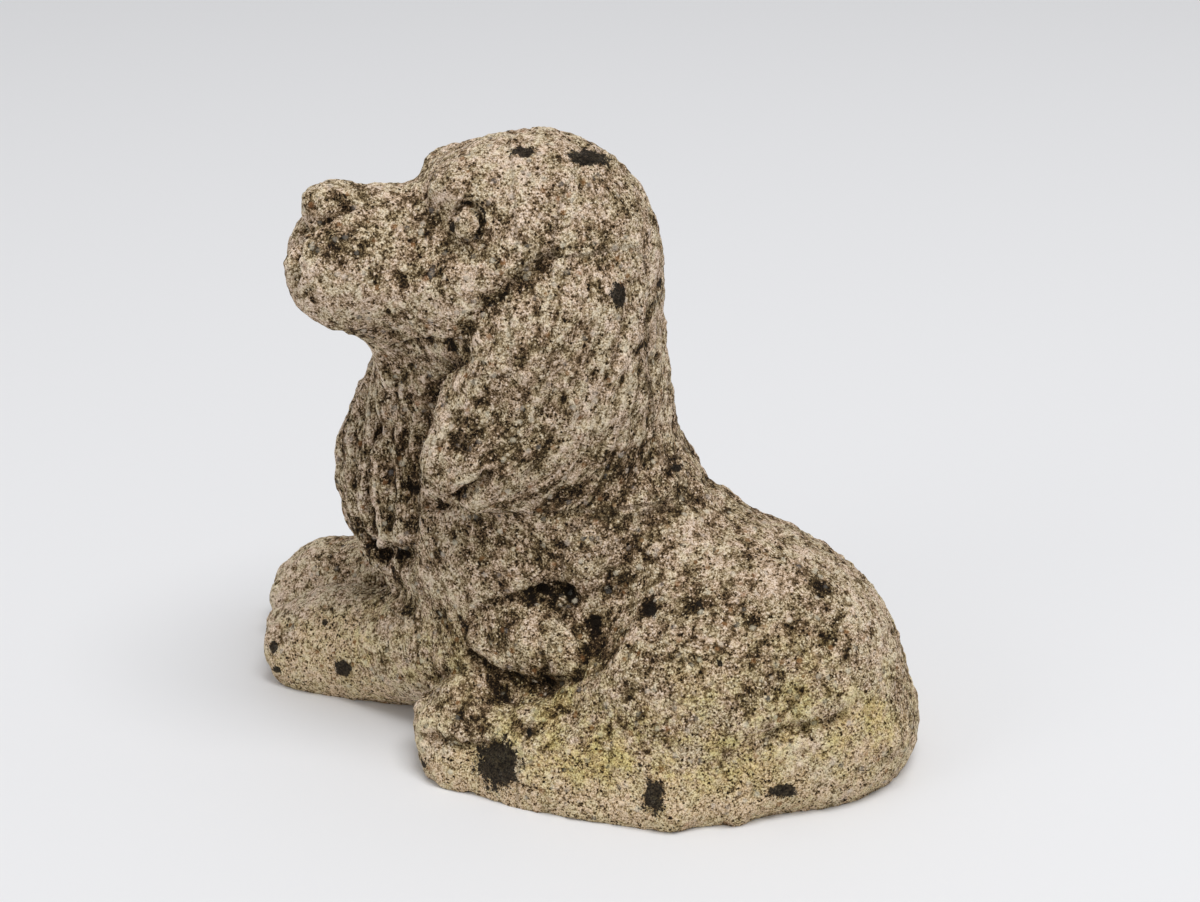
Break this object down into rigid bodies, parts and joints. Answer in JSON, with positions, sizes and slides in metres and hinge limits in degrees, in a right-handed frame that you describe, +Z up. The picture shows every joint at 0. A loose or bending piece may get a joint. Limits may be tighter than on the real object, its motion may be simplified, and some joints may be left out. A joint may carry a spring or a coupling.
{
  "type": "garden statue",
  "caption": "Garden statue of a lying spaniel with its head raised and turned to one side, cast in coarse weathered stone, to stand on the ground, a wall or a step.",
  "frame": {"origin": "middle of the statue's footprint box, on the floor it stands on", "axes": "+Z up, -Y the way the dog's body faces, +X the dog's left side"},
  "size_m": [0.1844, 0.319, 0.258],
  "materials": {
    "stone": "coarse, pitted and weathered, unpolished"
  },
  "bodies": {
    "root": {"spaniel": "stone"}
  },
  "joints": []
}
